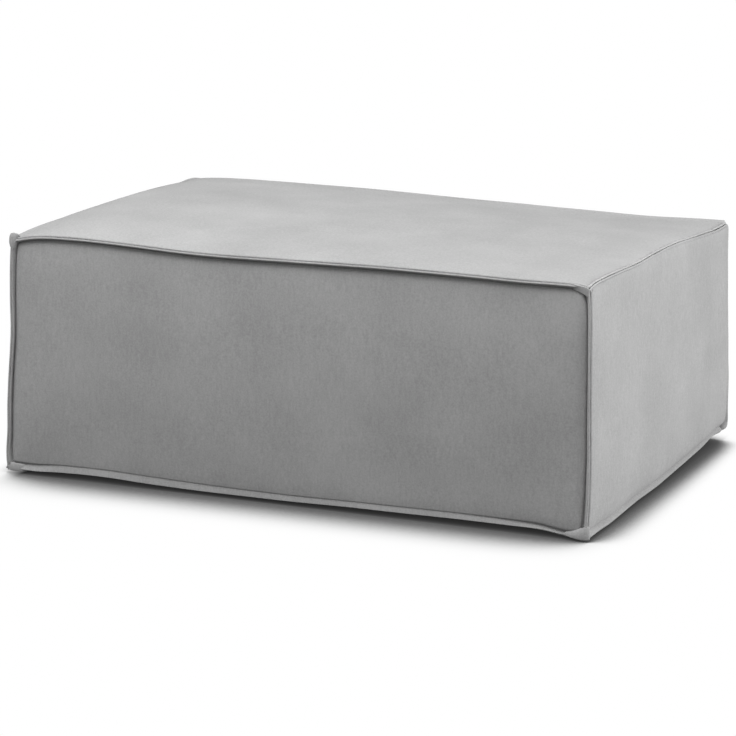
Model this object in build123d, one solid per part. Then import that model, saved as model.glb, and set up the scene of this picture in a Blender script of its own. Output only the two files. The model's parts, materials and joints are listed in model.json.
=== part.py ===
from build123d import *
from math import sqrt
import os

# A low rectangular box ottoman, fully covered in cloth, that serves as a coffee table.
# A timber frame stands on four hidden feet and carries woven webbing, felt, foam and wadding.
# Boards and thin pads close its four sides, and a loose cover with standing seams goes over all.
# Every edge of the cover is a seam whose two plies stand out together at 45 degrees as a lip.
# Millimetres, +Z up, front towards -Y, origin on the floor under the middle.

# Cover: sizes run from crease to crease, where the lips begin
cover_width = 1070.0
cover_depth = 740.0
cover_height = 400.0
cloth = 2.0
lip_width = 11.0
seam_slit = 0.4
top_crown = 15.0
side_crown = 8.0
strip_width = 52.0

# Padding under the cover
side_pad_thickness = 10.0
wadding_thickness = 10.0
foam_thickness = 60.0
felt_thickness = 4.0

# Webbing woven over the top rails
webbing_width = 60.0
webbing_thickness = 1.6
webbing_end_margin = 4.0
long_webbing_count = 4
cross_webbing_count = 7

# Timber frame and its boards
board_thickness = 3.0
rail_thickness = 22.0
rail_height = 60.0
post_size = 38.0
middle_post_width = 60.0
block_leg = 120.0
block_thickness = 22.0

# Feet, their screws and the underside
foot_height = 22.5
foot_radius = 22.0
foot_inset = 54.0
foot_head_depth = 8.0
dust_cover_thickness = 0.6
dust_cover_margin = 24.0
head_radius = 4.6
head_height = 2.6
shank_radius = 2.2
point_length = 4.0
screw_length = 30.0

# Clearances
ply_gap = 0.3
screw_gap = 0.3
foot_hole_gap = 1.5
overrun = 20.0

# Crown of a stuffed face: places along it, and how much of the crown is reached there
place_shares = (0.0, 0.14, 0.5, 0.86, 1.0)
rise_shares = (0.02, 0.62, 1.0, 0.62, 0.02)

# Levels above the floor
frame_base = foot_height
bottom_crease = frame_base - cloth
top_crease = bottom_crease + cover_height
middle_height = (bottom_crease + top_crease) / 2
seat_skin = cloth + wadding_thickness + 2 * ply_gap
foam_base = top_crease - seat_skin - foam_thickness
felt_base = foam_base - felt_thickness
webbing_lift = webbing_thickness + ply_gap
frame_top = felt_base - webbing_thickness - webbing_lift

# Half sizes in plan, from the cover inwards
half_width = cover_width / 2
half_depth = cover_depth / 2
side_skin = cloth + ply_gap + side_pad_thickness
board_x = half_width - side_skin
board_y = half_depth - side_skin
frame_x = board_x - board_thickness
frame_y = board_y - board_thickness
inner_x = frame_x - rail_thickness
inner_y = frame_y - rail_thickness
lip_reach = lip_width / sqrt(2)

# Each side of the box: its outward plane in the middle of the side, its length and its height
side_faces = {
    "front": (Plane((0, -half_depth, middle_height), (1, 0, 0), (0, -1, 0)), cover_width),
    "right": (Plane((half_width, 0, middle_height), (0, 1, 0), (1, 0, 0)), cover_depth),
    "back": (Plane((0, half_depth, middle_height), (-1, 0, 0), (0, 1, 0)), cover_width),
    "left": (Plane((-half_width, 0, middle_height), (0, -1, 0), (-1, 0, 0)), cover_depth),
}
top_face = Plane((0, 0, top_crease), (1, 0, 0), (0, 0, 1))
bottom_face = Plane((0, 0, bottom_crease), (1, 0, 0), (0, 0, -1))

# The four corners in plan, as signs of X and Y
corners = {
    "front_left": (-1, -1),
    "front_right": (1, -1),
    "back_right": (1, 1),
    "back_left": (-1, 1),
}


def block(x_limits, y_limits, z_limits):
    """A rectangular piece between two limits on each axis."""
    limits = (x_limits, y_limits, z_limits)
    sizes = [high - low for low, high in limits]
    middle = [(high + low) / 2 for low, high in limits]
    return Pos(*middle) * Box(*sizes)


def crowned_slab(length, width, crown, top_depth, base_depth, flat_base):
    """A stuffed layer under a face: its outside is crowned, its inside flat or crowned alike."""
    sections = []
    for place, rise in zip(place_shares, rise_shares):
        half = width / 2
        peak = crown * rise
        outside = ThreePointArc((-half, -top_depth), (0, peak - top_depth), (half, -top_depth))
        if flat_base:
            inside = Line((-half, -base_depth), (half, -base_depth))
        else:
            inside = ThreePointArc((-half, -base_depth), (0, peak - base_depth), (half, -base_depth))
        ends = [Line((side * half, -top_depth), (side * half, -base_depth)) for side in (-1, 1)]
        outline = make_face([outside, ends[0], inside, ends[1]])
        sections.append(Plane.YZ.offset(length * (place - 0.5)) * outline)
    return loft(sections)


def wedge(length, width, depth, reach, inset=0):
    """The space of one face between the 45 degree planes through its four creases."""
    levels = (-depth, reach)
    outlines = [
        Plane.XY.offset(level)
        * Rectangle(length + 2 * (level - inset), width + 2 * (level - inset))
        for level in levels
    ]
    return loft(outlines, ruled=True)


def lips(length, width):
    """One cloth ply of the standing lips along the four edges of a face."""
    slit = seam_slit / sqrt(2)
    ply = cloth * sqrt(2)
    root = cloth / 2
    outer = wedge(length, width, root, lip_reach, slit)
    inner = wedge(length, width, root + overrun, lip_reach + overrun, slit + ply)
    return outer - inner


def cover_panel(face, length, width, crown):
    """A crowned panel of the cover with its own ply of the lips round it."""
    slab = crowned_slab(length, width, crown, 0, cloth, False)
    own_space = wedge(length, width, cloth + overrun, crown + overrun, seam_slit / sqrt(2))
    return face * ((slab & own_space) + lips(length, width))


def side_pad(face, length):
    """A thin foam pad between the side board and the cover, mitred to its neighbours."""
    slab = crowned_slab(length, cover_height, side_crown, cloth + ply_gap, side_skin, True)
    return face * (slab & wedge(length, cover_height, side_skin + overrun, side_crown + overrun))


def seat_wadding():
    """The soft layer over the foam, crowned on both faces."""
    base = cloth + ply_gap + wadding_thickness
    slab = crowned_slab(cover_width, cover_depth, top_crown, cloth + ply_gap, base, False)
    space = wedge(cover_width, cover_depth, base + overrun, top_crown + overrun)
    return top_face * (slab & space)


def seat_foam():
    """The foam core, flat below and crowned above, that reaches out over the side boards."""
    base = seat_skin + foam_thickness
    slab = crowned_slab(cover_width, cover_depth, top_crown, seat_skin, base, True)
    plan = block(
        (-board_x, board_x), (-board_y, board_y), (-base - overrun, top_crown + overrun)
    )
    return top_face * (slab & plan)


def seat_felt():
    """The felt sheet that keeps the foam from being cut by the webbing."""
    return block((-board_x, board_x), (-board_y, board_y), (felt_base, foam_base))


def webbing_strap(length, crossing_pitch, crossing_count, first_up):
    """A strap along X that rises over every second crossing strap and lies flat elsewhere."""
    crest = webbing_width / 2 + ply_gap
    ramp = (crossing_pitch - webbing_width) / 2 - ply_gap
    line = [(-length / 2, 0)]
    for number in range(crossing_count):
        if number % 2 != first_up:
            centre = (number - (crossing_count - 1) / 2) * crossing_pitch
            line.append((centre - crest - ramp, 0))
            line.append((centre - crest, webbing_lift))
            line.append((centre + crest, webbing_lift))
            line.append((centre + crest + ramp, 0))
    line.append((length / 2, 0))
    upper = [(along, level + webbing_thickness) for along, level in reversed(line)]
    outline = make_face(Polyline(*line, *upper, close=True))
    return extrude(Plane.XZ * outline, webbing_width / 2, both=True)


def webbing():
    """Long straps and cross straps, each over one and under the next."""
    long_pitch = 2 * inner_y / (long_webbing_count + 1)
    cross_pitch = 2 * inner_x / (cross_webbing_count + 1)
    long_length = 2 * (frame_x - webbing_end_margin)
    cross_length = 2 * (frame_y - webbing_end_margin)
    straps = {}
    for number in range(long_webbing_count):
        across = (number - (long_webbing_count - 1) / 2) * long_pitch
        strap = webbing_strap(long_length, cross_pitch, cross_webbing_count, number % 2)
        straps[f"long_webbing_{number + 1}"] = Pos(0, across, frame_top) * strap
    for number in range(cross_webbing_count):
        along = (number - (cross_webbing_count - 1) / 2) * cross_pitch
        strap = webbing_strap(cross_length, long_pitch, long_webbing_count, 1 - number % 2)
        place = Pos(along, 0, frame_top) * Rot(0, 0, 90)
        straps[f"cross_webbing_{number + 1}"] = place * strap
    return straps


def foot_places():
    """The middle of each foot on the floor."""
    x = inner_x - foot_inset
    y = inner_y - foot_inset
    return {name: (sign_x * x, sign_y * y) for name, (sign_x, sign_y) in corners.items()}


def rails():
    """The eight rails of the bottom and top rings; the side rails butt between the long ones."""
    levels = {
        "bottom": (frame_base, frame_base + rail_height),
        "top": (frame_top - rail_height, frame_top),
    }
    made = {}
    for level, z_limits in levels.items():
        made[f"front_{level}_rail"] = block((-frame_x, frame_x), (-frame_y, -inner_y), z_limits)
        made[f"back_{level}_rail"] = block((-frame_x, frame_x), (inner_y, frame_y), z_limits)
        made[f"left_{level}_rail"] = block((-frame_x, -inner_x), (-inner_y, inner_y), z_limits)
        made[f"right_{level}_rail"] = block((inner_x, frame_x), (-inner_y, inner_y), z_limits)
    return made


def corner_posts():
    """A square post in each corner, inside the rails that are glued and stapled to it."""
    made = {}
    for name, (sign_x, sign_y) in corners.items():
        x_limits = sorted((sign_x * inner_x, sign_x * (inner_x - post_size)))
        y_limits = sorted((sign_y * inner_y, sign_y * (inner_y - post_size)))
        made[f"{name}_post"] = block(x_limits, y_limits, (frame_base, frame_top))
    return made


def middle_posts():
    """A flat post halfway along the front and the back, between the two rails."""
    half = middle_post_width / 2
    z_limits = (frame_base + rail_height, frame_top - rail_height)
    return {
        "front_middle_post": block((-half, half), (-frame_y, -inner_y), z_limits),
        "back_middle_post": block((-half, half), (inner_y, frame_y), z_limits),
    }


def bottom_cross_rail():
    """The rail across the middle of the bottom ring."""
    half = rail_thickness / 2
    z_limits = (frame_base, frame_base + rail_height)
    return block((-half, half), (-inner_y, inner_y), z_limits)


def corner_blocks():
    """A triangular block round each post that takes the foot's screw."""
    made = {}
    for name, (sign_x, sign_y) in corners.items():
        inwards = (
            (post_size, 0),
            (block_leg, 0),
            (0, block_leg),
            (0, post_size),
            (post_size, post_size),
        )
        points = [(sign_x * (inner_x - x), sign_y * (inner_y - y)) for x, y in inwards]
        outline = Plane.XY.offset(frame_base) * make_face(Polyline(*points, close=True))
        made[f"{name}_corner_block"] = extrude(outline, block_thickness, dir=(0, 0, 1))
    return made


def side_boards():
    """Thin hard boards on the outside of the frame; the left and right ones butt between."""
    z_limits = (frame_base, frame_top)
    return {
        "front_board": block((-board_x, board_x), (-board_y, -frame_y), z_limits),
        "back_board": block((-board_x, board_x), (frame_y, board_y), z_limits),
        "left_board": block((-board_x, -frame_x), (-frame_y, frame_y), z_limits),
        "right_board": block((frame_x, board_x), (-frame_y, frame_y), z_limits),
    }


def under_strips():
    """The cloth turned under the frame, with the lower ply of the bottom lips, mitred in four."""
    plate = block(
        (-half_width, half_width), (-half_depth, half_depth), (-cloth, 0)
    )
    space = wedge(cover_width, cover_depth, cloth + overrun, lip_reach, seam_slit / sqrt(2))
    tray = bottom_face * ((plate & space) + lips(cover_width, cover_depth))
    out_x = half_width + lip_reach
    out_y = half_depth + lip_reach
    turn = lip_reach + strip_width
    outer = [(sign_x * out_x, sign_y * out_y) for sign_x, sign_y in corners.values()]
    inner = [
        (sign_x * (out_x - turn), sign_y * (out_y - turn)) for sign_x, sign_y in corners.values()
    ]
    made = {}
    for number, name in enumerate(side_faces):
        following = (number + 1) % len(corners)
        points = (outer[number], outer[following], inner[following], inner[number])
        outline = Plane.XY.offset(bottom_crease) * make_face(Polyline(*points, close=True))
        share = extrude(outline, lip_reach + cloth, both=True)
        made[f"{name}_under_strip"] = tray & share
    return made


def dust_cover():
    """The thin cloth that closes the underside, cut out round the feet."""
    x = half_width - dust_cover_margin
    y = half_depth - dust_cover_margin
    sheet = block((-x, x), (-y, y), (bottom_crease - dust_cover_thickness, bottom_crease))
    for foot_x, foot_y in foot_places().values():
        hole = Cylinder(foot_radius + foot_hole_gap, foot_height)
        sheet -= Pos(foot_x, foot_y, bottom_crease) * hole
    return sheet


def foot():
    """A round foot with the recess for its screw's head below and the hole for its shank."""
    recess_radius = head_radius + screw_gap
    hole_radius = shank_radius + screw_gap
    outline = Polyline(
        (recess_radius, 0),
        (foot_radius, 0),
        (foot_radius, foot_height),
        (hole_radius, foot_height),
        (hole_radius, foot_head_depth),
        (recess_radius, foot_head_depth),
        close=True,
    )
    return revolve(Plane.XZ * make_face(outline), Axis.Z)


def foot_screw():
    """The pan head wood screw that holds a foot, with its head seated in the foot's recess."""
    outline = Polyline(
        (0, 0),
        (head_radius, 0),
        (head_radius, head_height),
        (shank_radius, head_height),
        (shank_radius, screw_length - point_length),
        (0, screw_length),
        close=True,
    )
    screw = revolve(Plane.XZ * make_face(outline), Axis.Z)
    return Pos(0, 0, foot_head_depth - head_height) * screw


def screw_hole():
    """The hole that the screw makes in the corner block above the foot."""
    tip_level = foot_head_depth - head_height + screw_length
    return extrude(Circle(shank_radius + screw_gap), tip_level + screw_gap)


def build():
    """All pieces by name."""
    pieces = {}
    pieces.update(rails())
    pieces.update(corner_posts())
    pieces.update(middle_posts())
    pieces["bottom_cross_rail"] = bottom_cross_rail()
    pieces.update(corner_blocks())
    pieces.update(side_boards())
    pieces.update(webbing())
    pieces["seat_felt"] = seat_felt()
    pieces["seat_foam"] = seat_foam()
    pieces["seat_wadding"] = seat_wadding()
    pieces["top_cover_panel"] = cover_panel(top_face, cover_width, cover_depth, top_crown)
    for name, (face, length) in side_faces.items():
        pieces[f"{name}_pad"] = side_pad(face, length)
        pieces[f"{name}_cover_panel"] = cover_panel(face, length, cover_height, side_crown)
    pieces.update(under_strips())
    pieces["dust_cover"] = dust_cover()

    screws = []
    for name, (x, y) in foot_places().items():
        pieces[f"{name}_foot"] = Pos(x, y, 0) * foot()
        pieces[f"{name}_corner_block"] -= Pos(x, y, 0) * screw_hole()
        screws.append(Pos(x, y, 0) * foot_screw())
    pieces["foot_screws"] = Compound(children=screws)
    return pieces


os.makedirs("parts", exist_ok=True)
for piece_name, piece in build().items():
    export_step(piece, f"parts/{piece_name}.step")
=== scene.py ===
import json
import math

import bmesh
import bpy
import numpy as np
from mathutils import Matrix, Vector

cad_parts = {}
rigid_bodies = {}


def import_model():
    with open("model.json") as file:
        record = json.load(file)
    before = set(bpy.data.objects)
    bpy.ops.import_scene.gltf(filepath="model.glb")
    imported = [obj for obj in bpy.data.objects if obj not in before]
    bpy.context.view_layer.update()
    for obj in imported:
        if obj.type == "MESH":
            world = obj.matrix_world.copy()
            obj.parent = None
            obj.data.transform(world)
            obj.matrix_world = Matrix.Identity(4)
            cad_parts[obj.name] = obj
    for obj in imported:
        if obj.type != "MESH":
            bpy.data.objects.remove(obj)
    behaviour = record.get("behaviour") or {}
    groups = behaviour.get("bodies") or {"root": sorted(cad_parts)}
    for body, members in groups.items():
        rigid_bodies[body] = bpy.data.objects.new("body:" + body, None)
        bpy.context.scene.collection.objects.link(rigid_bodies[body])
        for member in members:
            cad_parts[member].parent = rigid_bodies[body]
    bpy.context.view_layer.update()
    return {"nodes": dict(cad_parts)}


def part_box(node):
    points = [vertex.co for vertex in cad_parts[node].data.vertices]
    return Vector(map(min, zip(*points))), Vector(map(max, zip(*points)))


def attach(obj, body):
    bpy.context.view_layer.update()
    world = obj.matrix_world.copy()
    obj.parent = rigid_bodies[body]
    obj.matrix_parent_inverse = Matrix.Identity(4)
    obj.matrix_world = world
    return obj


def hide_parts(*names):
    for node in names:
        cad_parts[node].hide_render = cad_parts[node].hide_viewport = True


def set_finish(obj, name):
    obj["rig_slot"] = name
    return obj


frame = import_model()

mm = 0.001

# The square box that the seams run round, from the floor up
half_width, half_depth = 0.535, 0.370
seam_floor, seam_top = 0.0205, 0.4205

# Cloth, and the plies of the standing seams, each with its turned edge inside
cloth = 0.002
ply_thickness = 0.0031
seam_slit = 0.0003
slit_wander, slit_waves = 0.0001, 41
deepest_tuck = 0.0065
crease_depth = 0.0012
least_rise = 0.05
floor_clearance = 0.0012
ply_shares = (0.0, 0.22, 0.55, 0.84, 0.96, 1.0)
ply_steps = len(ply_shares) - 1
corner_blunt_share = 0.22

# The padding rolls out of each crease in a small arc, then rises softly
arc_rows = 5
arc_rise = 0.0046
full_arc_angle = math.radians(38)
arc_clearance = math.radians(5)
least_roll, roll_power = 0.05, 1.5
roll_rest, roll_reach = 0.02, 0.02
soft_rise, soft_rise_length = 0.0026, 0.010
edge_steps = (0.0, 0.0005, 0.0010, 0.0015, 0.0020, 0.0025, 0.0050, 0.0085, 0.0135, 0.0205, 0.0310, 0.0450)
cloth_cell = 0.0135
cloth_frames = 20

# How a panel's rounded corners and the ends of its creases fade out along its edges
round_reach, round_growth, round_share = 0.012, 2.2, 0.5
crease_fade_power = 6

normals = {
    "top": (0, 0, 1), "under": (0, 0, -1),
    "front": (0, -1, 0), "back": (0, 1, 0),
    "left": (-1, 0, 0), "right": (1, 0, 0),
}
normals = {side: np.array(normal, float) for side, normal in normals.items()}

# How far each corner of the seams is pulled off the square box, in mm
corner_pulls = {
    "front_left_bottom": (-16, 1, -6.5), "front_right_bottom": (-1, 0, -8.5),
    "back_right_bottom": (-10, -4, 5), "back_left_bottom": (-7, 2, -1),
    "front_left_top": (7, 0, 0), "front_right_top": (-1, 0, 0.5),
    "back_right_top": (-5, -4, -12.5), "back_left_top": (0, 0, -3),
}

# Each seam, named after the sides that meet there.
# pulls are (share of the seam, x, y, z), in mm off the square box.
# leans are (share, degrees from the second panel's outward direction towards the first's,
# flange width in mm).
# gapes open the slit between the plies at their tips, in mm.
# lifts raise a panel's crease along the ply, in mm.
# rolls weaken or strengthen the padding's roll beside it.
seams = {
    "front_top": dict(
        pulls=[(0.035, 3, 1, 6.5), (0.12, 1, 0, 10.5), (0.20, 0, -1, 8.5), (0.34, 0, 1, 2),
               (0.50, 0, 0, 3), (0.66, 0, 0, 4.5), (0.80, 0, 1, 2.9), (0.90, 0, 0, 1.3),
               (0.96, 0, 0, 1.7)],
        leans=[(0, 20, 9.5), (0.12, 22, 9.5), (0.30, 24, 10), (0.60, 26, 10), (1, 28, 10)],
        lifts={"front": 0.8}, rolls={"front": 0.5}),
    "back_top": dict(
        pulls=[(0.10, 0, 2, -0.6), (0.18, 0, 2, -0.6), (0.27, 0, 2, -1.2), (0.36, 0, 1, -2.2),
               (0.46, 0, 0, -5.2), (0.60, 0, 0, -8.6), (0.75, 0, 1, -12.7), (0.87, 0, 1, -15.2),
               (0.95, 0, 0, -13.3)],
        leans=[(0, 15, 11), (0.5, 12, 11), (1, 15, 11)]),
    "left_top": dict(
        pulls=[(0.07, 0, 0, 4), (0.23, -2, 0, 8.8), (0.38, -3.5, 0, 9.2), (0.53, -4, 0, 9.2),
               (0.69, -3.5, 0, 8.8), (0.85, -1, 0, 6.8), (0.95, 0, 0, 5.6)],
        leans=[(0, 10, 9), (0.08, -8, 9), (0.2, -15, 9), (0.85, -15, 9), (0.96, 5, 9), (1, 15, 10)],
        lifts={"top": 3, "left": 2}, rolls={"top": 0.1}),
    "right_top": dict(
        pulls=[(0.03, 0, 0, 3.8), (0.06, 0, 0, 4), (0.12, 0.1, 0, 3.8), (0.20, 0.7, 0, 2.8),
               (0.30, 1.2, 0, 1), (0.40, 1.6, 0, 2.6), (0.50, 2, 0, 3.2), (0.60, 1.5, 0, 1),
               (0.70, 1.1, 0, -3.6), (0.80, 0.5, 0, -8), (0.88, 0, 0, -11.6), (0.95, 0, 0, -11.4)],
        leans=[(0, 42, 4.2), (0.1, 42, 3.4), (0.5, 41, 3.2), (0.9, 38, 3.4), (1, 38, 4.5)],
        lifts={"top": 4, "right": 4}, rolls={"top": 0.1, "right": 0.1},
        gapes=[(0, 0.4), (0.15, 0.3), (0.25, 0.2), (0.38, 0.4), (0.6, 0.25), (0.68, 0.2), (0.78, 0.5),
               (1, 0.6)]),
    "front_bottom": dict(
        pulls=[(0.03, -4, 0, -6.6), (0.08, -6.7, 0, -3.6), (0.155, -2, 0, -2.1), (0.245, 0, -1, -4.2),
               (0.335, 0, 0, -6.8), (0.43, 0, 0, -8), (0.50, 0, 0, -8.1), (0.60, 0, 0, -6.4),
               (0.70, 0, 0, -5.2), (0.80, 0, 0, -4.1), (0.88, 0, 0, -4.5), (0.93, 0, 0, -5.5),
               (0.97, 0, 0, -9.8)],
        leans=[(0, 60, 7), (0.03, 72, 7.2), (0.08, 82, 7), (0.155, 84, 6.7), (0.245, 84, 7.2),
               (0.335, 84, 6.4), (0.43, 84, 5.2), (0.50, 84, 4.7), (0.60, 84, 4.3), (0.70, 84, 4.7),
               (0.80, 82, 4.7), (0.88, 74, 4.9), (0.93, 64, 4.8), (0.97, 55, 6), (1, 48, 8)],
        lifts={"front": 1.5}, rolls={"front": 1.7}),
    "back_bottom": dict(
        pulls=[(0.2, -2, 1, -1), (0.4, 0, 0, 1), (0.6, 0, 1, -1), (0.8, 0, 0, 1)],
        leans=[(0, 48, 11), (0.5, 44, 11), (1, 45, 11)]),
    "left_bottom": dict(
        pulls=[(0.1, -13, 0, -3), (0.3, -8, 0, -1), (0.6, -5, 0, 0), (0.85, -5, 0, -2)],
        leans=[(0, 45, 11.5), (0.4, 46, 11), (1, 45, 11)]),
    "right_bottom": dict(
        pulls=[(0.06, 0, 0, -6.8), (0.13, 0, 0, -8.4), (0.20, 0, 0, -7.4), (0.27, 0, 0, -5.8),
               (0.33, 0, 0, -4.5), (0.41, 0, 0, -4.9), (0.48, 0, 0, -4.5), (0.56, 0, 0, -1.9),
               (0.70, 0, 0, 2.9), (0.82, 0, 0, 7.6), (0.90, 0, 0, 13.5), (0.96, 0, 0, 10)],
        leans=[(0, 40, 10), (0.06, 38, 10), (0.2, 38, 9.3), (0.8, 38, 9), (1, 40, 8.5)],
        rolls={"right": 2}),
    "front_left": dict(
        pulls=[(0.03, -17, 1, 0), (0.14, -15, 0, 0), (0.24, -14, 0, 0), (0.44, -8.4, 0, 0),
               (0.58, -3.3, 0, 0), (0.78, -0.2, 0, 0), (0.95, 4.2, 0, 0)],
        leans=[(0, 80, 10), (0.12, 96, 9.5), (0.32, 98, 9.5), (0.6, 100, 10), (0.8, 84, 10),
               (0.92, 77, 10), (1, 62, 10)]),
    "front_right": dict(
        pulls=[(0.10, 2.1, 0, 0), (0.19, 2.9, 0, 0), (0.31, 3.6, 0, 0), (0.45, 2.8, 0, 0),
               (0.64, 2.4, 0, 0), (0.76, 1.9, 0, 0), (0.87, 1.5, 0, 0), (0.95, 0.3, 0, 0)],
        leans=[(0, 48, 9), (0.2, 52, 9), (0.45, 60, 9), (1, 60, 9)],
        lifts={"front": -0.8, "right": 4}, rolls={"front": 1.4, "right": 0.1}),
    "back_left": dict(
        pulls=[(0.2, -6, 1, 0), (0.5, -4, 0, 0), (0.8, -1, 1, 0)],
        leans=[(0, 45, 11), (1, 45, 11)]),
    "back_right": dict(
        pulls=[(0.02, -4.2, -1.5, 0), (0.05, -0.8, -3, 0), (0.08, 0, -2.9, 0), (0.11, 0.7, -2.6, 0),
               (0.15, 0.5, -2, 0), (0.20, 0.8, -1.4, 0), (0.25, 1.2, -1, 0), (0.33, 0.9, -1, 0),
               (0.45, 0.4, -1, 0), (0.60, -1.3, -1, 0), (0.75, -2.8, -2, 0), (0.85, -3.8, -3, 0),
               (0.95, -4.8, -1, 0)],
        leans=[(0, 15, 12), (0.06, 15, 11), (0.11, 22, 9), (0.20, 55, 9), (0.30, 78, 10), (0.45, 88, 10),
               (1, 88, 10)]),
}
for name, seam in seams.items():
    first, second = name.split("_")
    if second in ("left", "right"):
        seam["sides"], seam["ends"] = (first, second), (f"{name}_bottom", f"{name}_top")
    else:
        corners = (f"front_{first}", f"back_{first}")
        if first in ("front", "back"):
            corners = (f"{first}_left", f"{first}_right")
        seam["sides"] = ("top" if second == "top" else "under", first)
        seam["ends"] = tuple(f"{corner}_{second}" for corner in corners)

# Each panel: the seams on its left, right, lower and upper edges, seen from outside,
# whether the last two run the panel's way, its two directions, its crown in mm,
# and how far its lower left, lower right, upper left and upper right corners are rounded, in mm
panels = {
    "top": dict(
        edges=("left_top", "right_top", "front_top", "back_top"), forward=True,
        directions=((1, 0, 0), (0, 1, 0)), crown=11, rounds=(3, 3, 6, 3)),
    "front": dict(
        edges=("front_left", "front_right", "front_bottom", "front_top"), forward=True,
        directions=((1, 0, 0), (0, 0, 1)), crown=9.5, rounds=(3, 3, 3, 9)),
    "right": dict(
        edges=("front_right", "back_right", "right_bottom", "right_top"), forward=True,
        directions=((0, 1, 0), (0, 0, 1)), crown=8, rounds=(2, 26, 3, 4)),
    "back": dict(
        edges=("back_right", "back_left", "back_bottom", "back_top"), forward=False,
        directions=((-1, 0, 0), (0, 0, 1)), crown=8, rounds=(4, 4, 3, 3)),
    "left": dict(
        edges=("back_left", "front_left", "left_bottom", "left_top"), forward=False,
        directions=((0, -1, 0), (0, 0, 1)), crown=8, rounds=(4, 4, 3, 3)),
}


def corner_place(corner):
    """A corner of the seams, with its pull."""
    level = seam_top if corner.endswith("top") else seam_floor
    x = half_width if "right" in corner else -half_width
    y = half_depth if "back" in corner else -half_depth
    return np.array((x, y, level)) + np.array(corner_pulls[corner]) * mm


def square_place(corner):
    """A corner of the square box."""
    return corner_place(corner) - np.array(corner_pulls[corner]) * mm


def along(rows, shares):
    """The values of a table of rows (share, values...) at these shares, on a smooth line through them."""
    rows = np.array(rows, float)
    knots, values = rows[:, 0], rows[:, 1:]
    shares = np.asarray(shares, float)
    slopes = np.gradient(values, knots, axis=0)
    held = np.clip(shares, knots[0], knots[-1])
    span = np.clip(np.searchsorted(knots, held, side="right") - 1, 0, len(knots) - 2)
    length = (knots[span + 1] - knots[span])[:, None]
    part = ((held - knots[span])[:, None]) / length
    start, end = values[span], values[span + 1]
    rise = 3 * part ** 2 - 2 * part ** 3
    lift = (part - 2 * part ** 2 + part ** 3) * length * slopes[span]
    drop = (part ** 3 - part ** 2) * length * slopes[span + 1]
    return start + (end - start) * rise + lift + drop


def seam_line(name, shares):
    """Points of a seam at these shares of its length."""
    seam = seams[name]
    first, last = (square_place(corner) for corner in seam["ends"])
    ends = [corner_pulls[corner] for corner in seam["ends"]]
    rows = [(0, *ends[0]), *seam["pulls"], (1, *ends[1])]
    shares = np.asarray(shares, float)
    return first + (last - first) * shares[:, None] + along(rows, shares) * mm


def ply(name, side, shares):
    """Outward reach and height of one ply's outer face, from crease to tip, at each share of the seam."""
    seam = seams[name]
    lean = along(seam["leans"], shares)
    angle, width = np.radians(lean[:, :1]), lean[:, 1:] * mm
    rises, reaches = np.sin(angle), np.cos(angle)
    if side != seam["sides"][0]:
        rises, reaches = reaches, rises
    shift = ply_thickness + seam_slit / 2
    depth = crease_depth - seam.get("lifts", {}).get(side, 0) * mm
    crease = np.maximum(-(shift * reaches + depth) / np.maximum(rises, least_rise), -deepest_tuck)
    rows = np.array(ply_shares)[None, :]
    gape = along(seam.get("gapes", [(0, 0), (1, 0)]), shares) * mm
    wander = slit_wander * (1 + np.sin(slit_waves * np.asarray(shares)[:, None] + len(name)))
    opening = (wander + gape) * rows ** 2
    along_ply = crease + (width - crease) * rows
    reach = reaches * along_ply - (shift + opening) * rises
    height = rises * along_ply + (shift + opening) * reaches
    return reach, height


def ply_angle(name, side, shares):
    """The angle between a ply and its panel's plane."""
    seam = seams[name]
    lean = np.radians(along(seam["leans"], shares)[:, 0])
    return lean if side == seam["sides"][0] else math.pi / 2 - lean


def spaced(length):
    """Shares from 0 to 1 of a panel's edge, close together near both ends."""
    near = np.array(edge_steps)
    count = int(round((length - 2 * near[-1]) / cloth_cell))
    middle = np.linspace(near[-1], length - near[-1], count + 1)
    return np.concatenate([near[:-1], middle, (length - near[:-1])[::-1]]) / length


def panel_frame(side):
    """A panel's two directions and its size along them on the square box."""
    along_u, along_v = (np.array(direction, float) for direction in panels[side]["directions"])
    size_u = 2 * (half_width if abs(along_u[0]) else half_depth)
    size_v = 2 * half_depth if abs(along_v[1]) else seam_top - seam_floor
    return along_u, along_v, size_u, size_v


def node_box(node):
    """The two outermost corners of a node of the CAD."""
    return [np.array(corner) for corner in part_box(node)]


def deselect():
    for thing in bpy.context.selected_objects:
        thing.select_set(False)


def only(piece):
    deselect()
    piece.select_set(True)
    bpy.context.view_layer.objects.active = piece


def apply_modifiers(piece):
    only(piece)
    for modifier in list(piece.modifiers):
        bpy.ops.object.modifier_apply(modifier=modifier.name)


def settled(piece):
    """The piece's place goes into its mesh."""
    only(piece)
    bpy.ops.object.transform_apply(location=True, rotation=True, scale=True)
    return piece


def faces_along(piece, index, direction):
    """All faces are flipped where this one of them looks away from the direction."""
    if np.dot(np.array(piece.data.polygons[index].normal), direction) < 0:
        piece.data.flip_normals()


def walled(piece, thickness, offset=-1):
    """A wall on the cloth: inwards, or to both sides where the offset is 0."""
    wall = piece.modifiers.new("wall", "SOLIDIFY")
    wall.thickness, wall.offset = thickness, offset
    return wall


def refined(piece, levels):
    finer = piece.modifiers.new("finer", "SUBSURF")
    finer.levels = finer.render_levels = levels


def bevelled(piece, width, segments):
    edge = piece.modifiers.new("edge", "BEVEL")
    edge.width, edge.segments = width, segments
    apply_modifiers(piece)


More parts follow.
